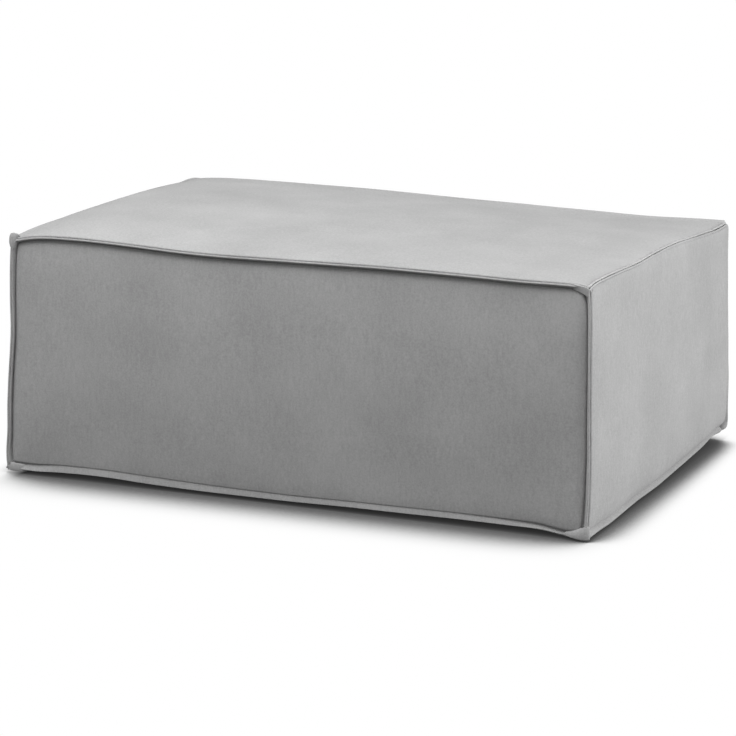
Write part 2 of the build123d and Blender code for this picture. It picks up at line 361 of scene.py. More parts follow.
def cloth_grid(name, points):
    """A sheet of cloth with a vertex at each of these points, laid out in rows from a plain grid."""
    rows, columns = points.shape[:2]
    deselect()
    bpy.ops.mesh.primitive_grid_add(x_subdivisions=columns - 1, y_subdivisions=rows - 1, size=1)
    piece = bpy.context.active_object
    piece.name = piece.data.name = name
    flat = np.zeros(len(piece.data.vertices) * 3)
    piece.data.vertices.foreach_get("co", flat)
    flat = flat.reshape(-1, 3)
    order = np.lexsort((flat[:, 0].round(5), flat[:, 1].round(5)))
    placed = np.zeros_like(flat)
    placed[order] = points.reshape(-1, 3)
    piece.data.vertices.foreach_set("co", placed.ravel())
    piece.data.update()
    return piece, order


def blown_sheet(length, height, crown):
    """How far each point of a pinned sheet of cloth moves when it is blown out by the padding's push."""
    columns, rows = int(length / cloth_cell) + 1, int(height / cloth_cell) + 1
    x, y = np.meshgrid(np.linspace(0, length, columns), np.linspace(0, height, rows))
    start = np.stack([x, y, np.zeros_like(x)], axis=-1)
    sheet, order = cloth_grid("blown_sheet", start)
    pins = sheet.vertex_groups.new(name="pins")
    on_edge = np.zeros((rows, columns), bool)
    on_edge[[0, -1]] = on_edge[:, [0, -1]] = True
    pins.add([int(i) for i in order[on_edge.ravel()]], 1.0, "REPLACE")
    only(sheet)
    bpy.ops.object.modifier_add(type="CLOTH")
    settings = sheet.modifiers[-1].settings
    settings.quality = 6
    settings.mass = 0.25
    settings.tension_stiffness = settings.compression_stiffness = 40
    settings.shear_stiffness = 12
    settings.bending_stiffness = 0.4
    settings.vertex_group_mass = "pins"
    settings.use_pressure = True
    settings.uniform_pressure_force = 4
    settings.effector_weights.gravity = 0
    settings.shrink_min = -0.006
    for frame_number in range(1, cloth_frames + 1):
        bpy.context.scene.frame_set(frame_number)
    apply_modifiers(sheet)
    blown = np.zeros(len(sheet.data.vertices) * 3)
    sheet.data.vertices.foreach_get("co", blown)
    shift = blown.reshape(-1, 3)[order].reshape(rows, columns, 3) - start
    bpy.data.objects.remove(sheet)
    bpy.context.scene.frame_set(1)
    return shift * crown / max(abs(shift[..., 2]).max(), 1e-6)


def sampled(field, across, up):
    """A field on a regular grid read at shares across and up."""
    rows, columns = field.shape[:2]
    x, y = np.clip(across, 0, 1) * (columns - 1), np.clip(up, 0, 1) * (rows - 1)
    i, j = np.minimum(x.astype(int), columns - 2), np.minimum(y.astype(int), rows - 2)
    a, b = (x - i)[..., None], (y - j)[..., None]
    low = field[j, i] * (1 - a) + field[j, i + 1] * a
    high = field[j + 1, i] * (1 - a) + field[j + 1, i + 1] * a
    return low * (1 - b) + high * b


# A panel's edges are its left, right, lower and upper one, and its corners the lower left, lower right,
# upper left and upper right one. Each edge's corners in the order that its points run:
edge_corners = ((0, 2), (1, 3), (0, 1), (2, 3))


def panel_points(side):
    """Every point of a cover panel's outer face, with its plies round it."""
    panel, normal = panels[side], normals[side]
    names = panel["edges"]
    along_u, along_v, size_u, size_v = panel_frame(side)
    across, up = spaced(size_u), spaced(size_v)
    runs = ((up, size_v), (up, size_v), (across, size_u), (across, size_u))
    outward = (-along_u, along_u, -along_v, along_v)

    def seam_shares(index, shares):
        return shares if index < 2 or panel["forward"] else 1 - shares

    def inset(index, share):
        reach, _ = ply(names[index], side, seam_shares(index, np.array([share])))
        return -reach[0, 0]

    # The seam along each edge, and its ply
    borders, reaches, heights = [], [], []
    for index in range(4):
        shares, size = runs[index]
        before, after = (2, 3) if index < 2 else (0, 1)
        end = 0.0 if index in (0, 2) else 1.0
        near, far = inset(before, end), inset(after, end)
        run = (near + (size - near - far) * shares) / size
        reach, height = ply(names[index], side, seam_shares(index, run))
        borders.append(seam_line(names[index], seam_shares(index, run)))
        reaches.append(reach)
        heights.append(height)

    # The creases, which meet at the corners and are rounded there
    creases = [line + outward[index] * reaches[index][:, :1] + normal * heights[index][:, :1]
               for index, line in enumerate(borders)]
    fade = (1 - up[:, None]) ** crease_fade_power, up[:, None] ** crease_fade_power
    for index, place in ((0, 0), (1, -1)):
        creases[index] = (creases[index] + (creases[2][place] - creases[index][0]) * fade[0]
                          + (creases[3][place] - creases[index][-1]) * fade[1])
    plain = [crease.copy() for crease in creases]
    for index, (shares, size) in enumerate(runs):
        for corner, distance in zip(edge_corners[index], (shares * size, (1 - shares) * size)):
            amount = panel["rounds"][corner] * mm
            part = np.clip(1 - distance / (round_reach + round_growth * amount), 0, 1) ** 2
            inwards = (amount * round_share * part)[:, None]
            creases[index] = creases[index] - outward[index] * inwards
            end_u = -along_u if corner in (0, 2) else along_u
            end_v = -along_v if corner in (0, 1) else along_v
            creases[index] = creases[index] - (end_v if index < 2 else end_u) * inwards

    # The flat panel between the creases, with its plies round it
    q, r = across[None, :, None], up[:, None, None]
    low, high, west, east = creases[2][None], creases[3][None], creases[0][:, None], creases[1][:, None]
    blend = (1 - r) * low + r * high + (1 - q) * west + q * east
    blend -= ((1 - q) * (1 - r) * creases[2][0] + q * (1 - r) * creases[2][-1]
              + (1 - q) * r * creases[3][0] + q * r * creases[3][-1])

    points = np.zeros((len(up) + 2 * ply_steps, len(across) + 2 * ply_steps, 3))
    inner = slice(ply_steps, -ply_steps)
    points[inner, inner] = blend
    for index in range(4):
        moved = creases[index] - plain[index]
        for k in range(1, ply_steps + 1):
            ring = (borders[index] + outward[index] * reaches[index][:, k:k + 1]
                    + normal * heights[index][:, k:k + 1] + moved * (1 - ply_shares[k]) ** 2)
            place = ply_steps - k if index in (0, 2) else k - 1 - ply_steps
            points[(inner, place) if index < 2 else (place, inner)] = ring
    for corner in range(4):
        u_side, v_side = (0 if corner in (0, 2) else 1), (2 if corner in (0, 1) else 3)
        u_end, v_end = (0 if corner in (0, 1) else -1), (0 if corner in (0, 2) else -1)
        seam_end = 0.0 if v_end == 0 else 1.0
        base = seam_line(names[v_side], seam_shares(v_side, np.array([seam_end])))[0]
        moved = creases[v_side][v_end] - plain[v_side][v_end]
        for k in range(1, ply_steps + 1):
            for m in range(1, ply_steps + 1):
                blunt = 1 - corner_blunt_share * ply_shares[k] * ply_shares[m]
                spot = (base + outward[u_side] * reaches[u_side][u_end, k] * blunt
                        + outward[v_side] * reaches[v_side][v_end, m] * blunt
                        + normal * max(heights[u_side][u_end, k], heights[v_side][v_end, m]) * blunt
                        + moved * (1 - max(ply_shares[k], ply_shares[m])) ** 2)
                row = ply_steps - m if v_side == 2 else m - 1 - ply_steps
                column = ply_steps - k if u_side == 0 else k - 1 - ply_steps
                points[row, column] = spot

    # The padding's roll out of each crease, and its crown
    shifts, rises, strengths = [], [], []
    for index in range(4):
        shares = up if index < 2 else across
        distance = (across * size_u, (1 - across) * size_u, up * size_v, (1 - up) * size_v)[index]
        angle = ply_angle(names[index], side, seam_shares(index, shares))[:, None]
        strength = np.clip(angle / full_arc_angle, least_roll, 1) ** roll_power
        strength = strength * seams[names[index]].get("rolls", {}).get(side, 1)
        start = angle + arc_clearance
        radius = arc_rise * strength / (1 + np.cos(start))
        rank = np.arange(len(distance)) if index in (0, 2) else np.arange(len(distance))[::-1]
        heading = start + (math.pi - start) * np.minimum(rank / arc_rows, 1)[None, :]
        arc_length = edge_steps[arc_rows]
        fade = np.exp(-np.maximum(distance - arc_length, 0) / soft_rise_length)[None, :]
        out = (radius * (np.sin(heading) - np.sin(start)) + np.minimum(distance, arc_length)[None, :]) * fade
        rise = (np.cos(start) - np.cos(heading)) / (np.cos(start) + 1)
        spread = np.broadcast_to(strength, rise.shape)
        for values, grid in ((shifts, out), (rises, rise), (strengths, spread)):
            values.append(grid if index < 2 else grid.T)
    full_u, full_v = rises[0] * rises[1], rises[2] * rises[3]
    share_u, share_v = across[None, :], up[:, None]
    strength = (strengths[0] * (1 - share_u) + strengths[1] * share_u + strengths[2] * (1 - share_v)
                + strengths[3] * share_v) / 2
    near_u, near_v = np.minimum(share_u, 1 - share_u) * size_u, np.minimum(share_v, 1 - share_v) * size_v
    pull_u, pull_v = np.exp(-near_u / roll_reach), np.exp(-near_v / roll_reach)
    side_strength = np.where(share_u < 0.5, strengths[0], strengths[1])
    end_strength = np.where(share_v < 0.5, strengths[2], strengths[3])
    strength = strength * roll_rest + side_strength * pull_u + end_strength * pull_v
    strength = strength / (roll_rest + pull_u + pull_v)
    soft = (1 - np.exp(-near_v / soft_rise_length)) * (1 - np.exp(-near_u / soft_rise_length))
    roll = arc_rise * strength * full_u * full_v + soft_rise * soft
    field = blown_sheet(size_u, size_v, panel["crown"] * mm - (arc_rise - crease_depth) - soft_rise)
    push = sampled(field, np.broadcast_to(share_u, roll.shape), np.broadcast_to(share_v, roll.shape))
    world = push[..., :1] * along_u + push[..., 1:2] * along_v + (push[..., 2:] + roll[..., None]) * normal
    for index in range(4):
        world += (shifts[index] * (full_v if index < 2 else full_u))[..., None] * outward[index]
    points[inner, inner] += world
    return points


# Folds that the bunched seam ends make at the corners: centre on the corner's flange, radius and move, in mm
corner_folds = {
    "front_left_top": [((-7, -7, 6), 14, (3, 0, -4))],
    "front_right_top": [((2, -8, 4), 12, (-1, 0, -3))],
    "front_right_bottom": [((-1, -7, -8), 16, (-1, 0, -3))],
    "back_right_top": [((7, 5, 5), 14, (-3, -3, -3))],
    "back_right_bottom": [((8, 2, -4), 14, (-2, -3, 4))],
}


def fold_corners(points):
    """The corner folds, shared by all plies that meet there."""
    flat = points.reshape(-1, 3)
    for corner, folds in corner_folds.items():
        for centre, radius, move in folds:
            place = corner_place(corner) + np.array(centre) * mm
            part = np.clip(1 - np.linalg.norm(flat - place, axis=1) / (radius * mm), 0, 1)
            part = part * part * (3 - 2 * part)
            flat += part[:, None] * np.array(move) * mm
    return flat.reshape(points.shape)


def thicken(piece, order, plies):
    """The cloth gets its thickness inwards, more where it is a ply with its turned edge."""
    group = piece.vertex_groups.new(name="plies")
    group.add([int(i) for i in order[plies.ravel()]], 1.0, "REPLACE")
    wall = walled(piece, ply_thickness)
    wall.vertex_group, wall.thickness_vertex_group = "plies", cloth / ply_thickness
    refined(piece, 1)
    apply_modifiers(piece)


def cover_panel(side):
    """One cover panel with its four plies, and the outer points of its face."""
    points = fold_corners(panel_points(side))
    points[..., 2] = np.maximum(points[..., 2], floor_clearance)
    piece, order = cloth_grid(f"{side}_cover", points)
    faces_along(piece, len(piece.data.polygons) // 2, normals[side])
    face = slice(ply_steps, -ply_steps)
    plies = np.ones(points.shape[:2], bool)
    plies[face, face] = False
    thicken(piece, order, plies)
    return piece, points[face, face]


# The bunched seam ends at the corners, each a 4 x 4 net of points in mm from its corner, in rows from below
corner_tabs = {
    "front_left_top": [
        [(-5.2, -7, -14), (-2.2, -9, -15.3), (0, -8.5, -14.3), (0, -3, -10.7)],
        [(-11.7, -7, -8.3), (-3.6, -12, -7.8), (2.8, -11, -7.5), (2.2, -3, -3.5)],
        [(-12.6, -6, 8.3), (-4, -12, 13.5), (5.5, -11, 12.3), (5.2, -4, 6.7)],
        [(-7.8, -4, 13.3), (0.2, -7, 16), (7.2, -7, 15.6), (11.3, -4, 9.8)]],
    "front_right_top": [
        [(-26.8, -2, -3.8), (-13, -7, -4.3), (-3.4, -10, -8.7), (2, -8, -14.3)],
        [(-25.6, -4, -0.4), (-12, -9, -1), (-1.8, -11.5, -3.8), (3, -8, -9.8)],
        [(-24, -6.5, 3.3), (-10.6, -11, 2.7), (-0.6, -12, 0.6), (4.2, -8, -5.5)],
        [(-23, -8.5, 6.2), (-10.3, -10.5, 5.6), (0, -11, 4.9), (5, -8, -1)]],
    "front_right_bottom": [
        [(-35, -4, -4.7), (-13, -12, -8), (4, -11, -11), (10.8, -7, -7.4)],
        [(-36.5, -5, -0.7), (-14.5, -13, 0.6), (6.3, -13, 0.4), (11, -7, 1)],
        [(-32, -3, 2.7), (-11, -9, 5), (6.3, -11, 10), (10.2, -6, 10)],
        [(-22, -2, 5.3), (-3.3, -6, 9.4), (5.8, -7.5, 15), (8.4, -5, 13.9)]],
    "front_left_bottom": [
        [(-1.8, -7, -7), (4.3, -7, -9.8), (16, -6, -9.5), (31.6, -1, -9)],
        [(-6, -7, -3.9), (5.6, -9, -4.9), (16.8, -7, -5.7), (31.7, -1, -6)],
        [(-5.7, -7, 2.6), (6, -9, 3.4), (17, -7, 2.2), (32, -1, 0.6)],
        [(-1.6, -5, 6.2), (6.8, -7, 6), (16.5, -6, 5), (31.4, 0, 3)]],
    "back_right_bottom": [
        [(4, -4, -5), (9.5, -7, -4.5), (13.5, -5, -2), (17, -2, 0.5)],
        [(5, -8, 0), (12, -11, 1), (17, -7, 2), (20, 0, 4)],
        [(6, -5, 5.5), (14, -8, 6), (18.5, -4, 6.5), (20.5, 1, 8.5)],
        [(9, 0, 12.5), (13, 2, 12.5), (17.5, 2.5, 12.5), (19.5, 3.5, 12)]],
}
tab_steps = 11
tab_thickness = 0.0032
tab_clearance = 0.0019


def net_patch(net, steps):
    """A smooth patch with this 4 x 4 net of points."""
    t = np.linspace(0, 1, steps)
    weights = np.stack([(1 - t) ** 3, 3 * t * (1 - t) ** 2, 3 * t ** 2 * (1 - t), t ** 3])
    return np.einsum("im,jn,ijk->mnk", weights, weights, np.array(net, float))


def corner_tab(corner):
    """A corner's bunched seam end: a folded scrap of the cover, rounded at its rim."""
    points = corner_place(corner) + net_patch(corner_tabs[corner], tab_steps) * mm
    points[..., 2] = np.maximum(points[..., 2], tab_clearance)
    piece, _ = cloth_grid(f"{corner}_tab", points)
    walled(piece, tab_thickness, 0)
    refined(piece, 2)
    apply_modifiers(piece)
    return piece


def joined(main, others):
    deselect()
    for piece in (main, *others):
        piece.select_set(True)
    bpy.context.view_layer.objects.active = main
    bpy.ops.object.join()
    return main


def finished(piece, slot, replaced):
    """The piece's last calls: smooth shading, its body, the nodes that it stands for and its finish."""
    only(piece)
    bpy.ops.object.shade_smooth()
    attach(piece, "root")
    if replaced:
        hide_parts(*replaced)
    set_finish(piece, slot)
    return piece


def outwards(piece):
    """All faces of a closed piece point out."""
    only(piece)
    bpy.ops.object.mode_set(mode="EDIT")
    bpy.ops.mesh.select_all(action="SELECT")
    bpy.ops.mesh.normals_make_consistent(inside=False)
    bpy.ops.object.mode_set(mode="OBJECT")


covers, faces = {}, {}
for side in panels:
    covers[side], faces[side] = cover_panel(side)
tab_corners = {
    "front": ("front_left_top", "front_right_top", "front_right_bottom", "front_left_bottom"),
    "right": ("back_right_bottom",),
}
for side, corners in tab_corners.items():
    joined(covers[side], [corner_tab(corner) for corner in corners])
for side, piece in covers.items():
    finished(piece, "cover_cloth", [f"{side}_cover_panel"])

# Strips of the cover turned under the frame and stapled there
strip_width = 0.052
strip_steps = (0.004, 0.0125, 0.026, 0.040, strip_width)
strip_straight_at = 0.03
frame_skin = 0.0123
mitre_gap = 0.0003


def under_strip(side):
    """The strip below one side, mitred at both ends, with the lower ply of that side's bottom seam."""
    name, outward = f"{side}_bottom", normals[side]
    length = 2 * (half_width if side in ("front", "back") else half_depth)
    shares = np.linspace(0, 1, int(length / cloth_cell) + 1)
    reach, height = ply(name, "under", shares)
    rows = []
    for k in range(ply_steps, -1, -1):
        mean_reach = reach[:, k].mean()
        spots = (mitre_gap - mean_reach + (length + 2 * mean_reach - 2 * mitre_gap) * shares) / length
        line = seam_line(name, spots)
        rows.append(line + outward * reach[:, k:k + 1] + normals["under"] * height[:, k:k + 1])
    for distance in strip_steps:
        spots = (mitre_gap + distance + (length - 2 * distance - 2 * mitre_gap) * shares) / length
        first, last = (square_place(corner) for corner in seams[name]["ends"])
        straight = first + (last - first) * spots[:, None]
        line = straight + (seam_line(name, spots) - straight) * max(0, 1 - distance / strip_straight_at)
        if distance >= frame_skin:
            line[:, 2] = np.minimum(line[:, 2], seam_floor)
        rows.append(line - outward * distance)
    points = np.stack(rows)
    points[..., 2] = np.maximum(points[..., 2], floor_clearance)
    piece, order = cloth_grid(f"{side}_strip", points)
    faces_along(piece, len(piece.data.polygons) - 5, normals["under"])
    plies = np.zeros(points.shape[:2], bool)
    plies[:ply_steps] = True
    thicken(piece, order, plies)
    finished(piece, "cover_cloth", [f"{side}_under_strip"])


for side in ("front", "right", "back", "left"):
    under_strip(side)

# Padding under the cover: each layer follows the cover's face from inside
layer_cell = 0.024
layer_steps = (0, 0.0012, 0.003, 0.006, 0.011, 0.018)
layer_step = 0.012
layer_rim = 0.005
rim_roundness, inner_roundness = 0.7, 0.6
least_layer = 0.001
padding_gap = 0.0007
cover_depth = cloth + padding_gap
wadding_thickness = 0.0098
foam_gap = 0.0006
wadding_inset, foam_inset, pad_inset = 0.006, 0.014, 0.008


def layer(name, side, depth, inset, thickness=None, flat_at=None):
    """A soft layer inside a cover panel: its outer face follows the cover's at this depth, and its rim
    is rounded. Its inner face is parallel to that or flat, at this distance along the panel's normal."""
    face, normal = faces[side], normals[side]
    size_u = np.linalg.norm(face[0, -1] - face[0, 0])
    size_v = np.linalg.norm(face[-1, 0] - face[0, 0])
    near = np.array(layer_steps) + inset

    def run(size):
        middle = np.linspace(near[-1] + layer_step, size - near[-1] - layer_step, int(size / layer_cell))
        return np.concatenate([near, middle, (size - near)[::-1]])

    u, v = np.meshgrid(run(size_u), run(size_v))
    _, _, square_u, square_v = panel_frame(side)
    share_u = np.interp(u, spaced(square_u) * size_u, np.linspace(0, 1, face.shape[1]))
    share_v = np.interp(v, spaced(square_v) * size_v, np.linspace(0, 1, face.shape[0]))
    outer = sampled(face, share_u, share_v)
    edge = np.minimum(np.minimum(u, size_u - u), np.minimum(v, size_v - v)) - inset
    drop = layer_rim * (1 - np.sqrt(1 - np.clip(1 - edge / layer_rim, 0, 1) ** 2)) * rim_roundness
    outer = outer - normal * (depth + drop)[..., None]
    if thickness:
        inner = outer - normal * np.maximum(thickness - drop * inner_roundness, least_layer)[..., None]
    else:
        level = np.minimum(outer @ normal - least_layer, flat_at)
        inner = outer + normal * (level - outer @ normal)[..., None]
    piece, _ = cloth_grid(name, outer)
    back, _ = cloth_grid(f"{name}_back", inner)
    back.data.flip_normals()
    joined(piece, [back])
    bpy.ops.object.mode_set(mode="EDIT")
    bpy.ops.mesh.select_all(action="DESELECT")
    bpy.ops.mesh.select_non_manifold(extend=False)
    bpy.ops.mesh.bridge_edge_loops()
    bpy.ops.object.mode_set(mode="OBJECT")
    outwards(piece)
    return piece


def inner_face(node, side):
    """How far a node's inner face lies along a panel's normal."""
    return min(float(np.dot(corner, normals[side])) for corner in node_box(node))


wadding = layer("top_wadding", "top", cover_depth, wadding_inset, thickness=wadding_thickness)
finished(wadding, "wadding", ["seat_wadding"])
foam_block = layer("foam_block", "top", cover_depth + wadding_thickness + foam_gap, foam_inset,
                   flat_at=inner_face("seat_foam", "top"))
finished(foam_block, "foam", ["seat_foam"])
for side in ("front", "right", "back", "left"):
    padding = layer(f"{side}_padding", side, cover_depth, pad_inset, flat_at=inner_face(f"{side}_pad", side))
    finished(padding, "wadding", [f"{side}_pad"])


def felt_sheet():
    """The felt between the webbing and the foam, pressed flat, with a soft rim."""
    low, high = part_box("seat_felt")
    deselect()
    bpy.ops.mesh.primitive_cube_add(size=1, location=(low + high) / 2, scale=high - low)
    piece = settled(bpy.context.active_object)
    piece.name = piece.data.name = "felt_layer"
    bevelled(piece, 0.0015, 3)
    finished(piece, "felt", ["seat_felt"])


felt_sheet()

# Webbing, woven over and under
long_count, cross_count = 4, 7
strap_points, strap_columns = 101, 5
strap_lift = 0.0019
strap_thickness = 0.0015
wave_reach = 0.062
level_reach, level_slope = 0.03, 0.004


def webbing_strap(name, node, crossings, over_first):
    """One strap that runs level at its stapled ends and waves over and under the straps that cross it."""
    low, high = node_box(node)
    axis = 0 if high[0] - low[0] > high[1] - low[1] else 1
    run = np.linspace(low[axis], high[axis], strap_points)
    wide = np.linspace(low[1 - axis], high[1 - axis], strap_columns)
    lift = np.zeros_like(run)
    for place in crossings[0 if over_first else 1::2]:
        away = np.abs(run - place)
        near = np.clip(1 - away / wave_reach, 0, 1)
        level = np.clip((level_reach - away) / level_slope + 1, 0, 1)
        lift = np.maximum(lift, strap_lift * near * near * (3 - 2 * near))
        lift = np.maximum(lift, strap_lift * level)
    points = np.zeros((len(wide), len(run), 3))
    points[..., axis], points[..., 1 - axis] = run[None, :], wide[:, None]
    points[..., 2] = low[2] + strap_thickness + lift[None, :]
    piece, _ = cloth_grid(name, points)
    faces_along(piece, 0, normals["top"])
    walled(piece, strap_thickness)
    apply_modifiers(piece)
    finished(piece, "webbing", [node])


def strap_middle(node, axis):
    low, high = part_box(node)
    return (low[axis] + high[axis]) / 2


cross_places = sorted(strap_middle(f"cross_webbing_{i + 1}", 0) for i in range(cross_count))
long_places = sorted(strap_middle(f"long_webbing_{i + 1}", 1) for i in range(long_count))
for kind, places, axis, crossings in (("long", long_places, 1, cross_places),
                                      ("cross", cross_places, 0, long_places)):
    for i in range(len(places)):
        node = f"{kind}_webbing_{i + 1}"
        rank = places.index(strap_middle(node, axis))
        webbing_strap(f"{kind}_strap_{i + 1}", node, crossings, rank % 2 == 1 - axis)

# Dust cover, with its staples, over the underside
foot_hole_radius = 0.0235
foot_rim_reach = 0.013
dust_thickness = 0.0005
dust_sag = 0.0035
dust_hold_reach = 0.12
dust_wave, dust_wave_rates, dust_wave_start = 0.22, (19, 23), 4
dust_cell = 0.0085
staple_step = 0.052
staple_size = (0.0105, 0.0012, 0.0009)
staple_inset, staple_gap = 0.007, 0.0001
staple_turn = 0.12
staple_starts, staple_ends = (0.02, 0.03), (0.015, 0.025)


def foot_places():
    places = []
    for node in ("front_left_foot", "front_right_foot", "back_right_foot", "back_left_foot"):
        low, high = node_box(node)
        places.append((low + high)[:2] / 2)
    return places


def dust_sheet():
    """The thin cloth below the frame, which sags a little between its edges and lies close round the feet."""
    low, high = node_box("dust_cover")
    x = np.linspace(low[0], high[0], int((high[0] - low[0]) / dust_cell))
    y = np.linspace(low[1], high[1], int((high[1] - low[1]) / dust_cell))
    u, v = np.meshgrid(x, y)
    edge = (1 - (u / high[0]) ** 2) * (1 - (v / high[1]) ** 2)
    hold = np.ones_like(u)
    for place in foot_places():
        away = np.hypot(u - place[0], v - place[1])
        hold = np.minimum(hold, np.clip((away - foot_hole_radius) / dust_hold_reach, 0, 1))
    rate_u, rate_v = dust_wave_rates
    waves = 1 + dust_wave * np.sin(rate_u * u + dust_wave_start) * np.sin(rate_v * v)
    points = np.stack([u, v, low[2] - dust_sag * edge ** 0.5 * hold * waves], axis=-1)
    piece, _ = cloth_grid("dust_sheet", points)
    faces_along(piece, 0, normals["under"])
    shape = bmesh.new()
    shape.from_mesh(piece.data)
    for place in foot_places():
        centre = Vector((place[0], place[1], 0)).xy
        inside = [spot for spot in shape.verts if (spot.co.xy - centre).length < foot_hole_radius]
        bmesh.ops.delete(shape, geom=inside, context="VERTS")
        for rim in shape.verts:
            if rim.is_boundary and (rim.co.xy - centre).length < foot_hole_radius + foot_rim_reach:
                rim.co.xy = centre + (rim.co.xy - centre).normalized() * foot_hole_radius
    shape.to_mesh(piece.data)
    shape.free()
    walled(piece, dust_thickness)
    apply_modifiers(piece)
    finished(piece, "dust_cloth", ["dust_cover"])


dust_sheet()


def staples():
    """A row of staples along each edge of the dust cover, of which only the flat crowns show."""
    low, high = node_box("dust_cover")
    spots = []
    for x in np.arange(low[0] + staple_starts[0], high[0] - staple_ends[0], staple_step):
        spots += [(x, low[1] + staple_inset, 0), (x, high[1] - staple_inset, 0)]
    for y in np.arange(low[1] + staple_starts[1], high[1] - staple_ends[1], staple_step):
        spots += [(low[0] + staple_inset, y, 1), (high[0] - staple_inset, y, 1)]
    deselect()
    bpy.ops.mesh.primitive_cube_add(size=1, location=(0, 0, 0), scale=staple_size)
    model = settled(bpy.context.active_object)
    bevelled(model, 0.0003, 1)
    made = []
    for index, (x, y, turned) in enumerate(spots):
        copy = bpy.data.objects.new(f"staple_{index}", model.data.copy())
        bpy.context.scene.collection.objects.link(copy)
        copy.rotation_euler[2] = math.pi / 2 * turned + staple_turn * math.sin(7 * index)
        copy.location = (x, y, low[2] - staple_size[2] / 2 - staple_gap)
        made.append(copy)
    bpy.data.objects.remove(model)
    for copy in made:
        settled(copy)
    row = joined(made[0], made[1:])
    row.name = row.data.name = "dust_cover_staples"
    finished(row, "screw_steel", [])


staples()


# Materials

def new_node(tree, kind, values, **settings):
    """A shader node with these settings, and with values or links at these inputs."""
    node = tree.nodes.new(f"ShaderNode{kind}")
    for name, setting in settings.items():
        setattr(node, name, setting)
    for name, value in values.items():
        if isinstance(value, bpy.types.NodeSocket):
            tree.links.new(value, node.inputs[name])
        else:
            node.inputs[name].default_value = value
    return node


def shader_group(name, inputs, outputs):
    """A node group with these named inputs (kind, value) and outputs (kind)."""
    group = bpy.data.node_groups.new(name, "ShaderNodeTree")
    for socket, (kind, value) in inputs.items():
        made = group.interface.new_socket(socket, in_out="INPUT", socket_type=kind)
        if value is not None:
            made.default_value = value
    for socket, kind in outputs.items():
        group.interface.new_socket(socket, in_out="OUTPUT", socket_type=kind)
    return group, group.nodes.new("NodeGroupInput"), group.nodes.new("NodeGroupOutput")


def noise(tree, coordinates, scale, detail=2.0, roughness=0.5):
    values = {"Vector": coordinates, "Scale": scale, "Detail": detail, "Roughness": roughness}
    return new_node(tree, "TexNoise", values).outputs["Fac"]


def stretched(tree, coordinates, scale):
    return new_node(tree, "Mapping", {"Vector": coordinates, "Scale": scale}).outputs["Vector"]


def maths(tree, operation, *values):
    return new_node(tree, "Math", dict(enumerate(values)), operation=operation).outputs[0]


def placed_values(tree, value, low, high, to_low=0.0, to_high=1.0):
    """The value moved from one range to another, 0 to 1 where no other is given."""
    values = {"Value": value, "From Min": low, "From Max": high, "To Min": to_low, "To Max": to_high}
    return new_node(tree, "MapRange", values).outputs["Result"]


def mixed(tree, share, first, second):
    """A colour between two, whose sockets have the numbers 6 and 7 on the mix node."""
    values = {"Factor": share, 6: (*first, 1), 7: (*second, 1)}
    return new_node(tree, "Mix", values, data_type="RGBA").outputs[2]


def brushed_pile():
    """Short soft pile: a fine speckle, small strokes of the nap and wide soft smudges."""
    group, given, made = shader_group(
        "brushed_pile",
        {"Coordinates": ("NodeSocketVector", None), "Speckle": ("NodeSocketFloat", 340.0),
         "Smudge": ("NodeSocketFloat", 7.0)},
        {"Tone": "NodeSocketFloat", "Height": "NodeSocketFloat"})
    coordinates = given.outputs["Coordinates"]
    speckle = noise(group, coordinates, given.outputs["Speckle"], 3, 0.62)
    strokes = noise(group, stretched(group, coordinates, (1, 1, 0.3)), 210, 3, 0.6)
    smudge = noise(group, coordinates, given.outputs["Smudge"], 3)
    fine = maths(group, "MULTIPLY_ADD", speckle, 0.45, maths(group, "MULTIPLY", strokes, 0.25))
    tone = maths(group, "MULTIPLY_ADD", smudge, 0.30, fine)
    group.links.new(tone, made.inputs["Tone"])
    group.links.new(fine, made.inputs["Height"])
    return group


pile_group = brushed_pile()


def material(name):
    """A new material's node tree, its Principled shader and the object coordinates."""
    made = bpy.data.materials.new(name)
    made.use_nodes = True
    shader = made.node_tree.nodes["Principled BSDF"]
    coordinates = new_node(made.node_tree, "TexCoord", {}).outputs["Object"]
    return made, made.node_tree, shader, coordinates


def coated(tree, shader, tone, dark, light, roughness, height, distance, strength=1.0):
    """A surface with a colour between dark and light by its tone, and with this height raised in it."""
    tree.links.new(mixed(tree, tone, dark, light), shader.inputs["Base Color"])
    shader.inputs["Roughness"].default_value = roughness
    bump = new_node(tree, "Bump", {"Height": height, "Distance": distance, "Strength": strength})
    tree.links.new(bump.outputs["Normal"], shader.inputs["Normal"])


def cover_cloth():
    """The cover's brushed grey cloth, with a little sheen of its pile."""
    made, tree, shader, coordinates = material("cover_cloth")
    pile = new_node(tree, "Group", {"Coordinates": coordinates}, node_tree=pile_group).outputs
    tone = placed_values(tree, pile["Tone"], 0.38, 0.62)
    coated(tree, shader, tone, (0.33, 0.33, 0.33), (0.44, 0.44, 0.44), 0.95, pile["Height"], 0.0006, 0.5)
    shader.inputs["Specular IOR Level"].default_value = 0.2
    shader.inputs["Sheen Weight"].default_value = 0.12
    shader.inputs["Sheen Roughness"].default_value = 0.5
    return made


def dress(piece, finish):
    piece.data.materials.clear()
    piece.data.materials.append(finish)


def speckled(name, dark, light, scale, roughness, bump, sheen=0.0):
    """A finish whose tone wanders between two colours, with the same pattern raised a little."""
    made, tree, shader, coordinates = material(name)
    pattern = noise(tree, coordinates, scale, 4, 0.6)
    coated(tree, shader, placed_values(tree, pattern, 0.35, 0.65), dark, light, roughness, pattern, bump)
    shader.inputs["Sheen Weight"].default_value = sheen
    return made


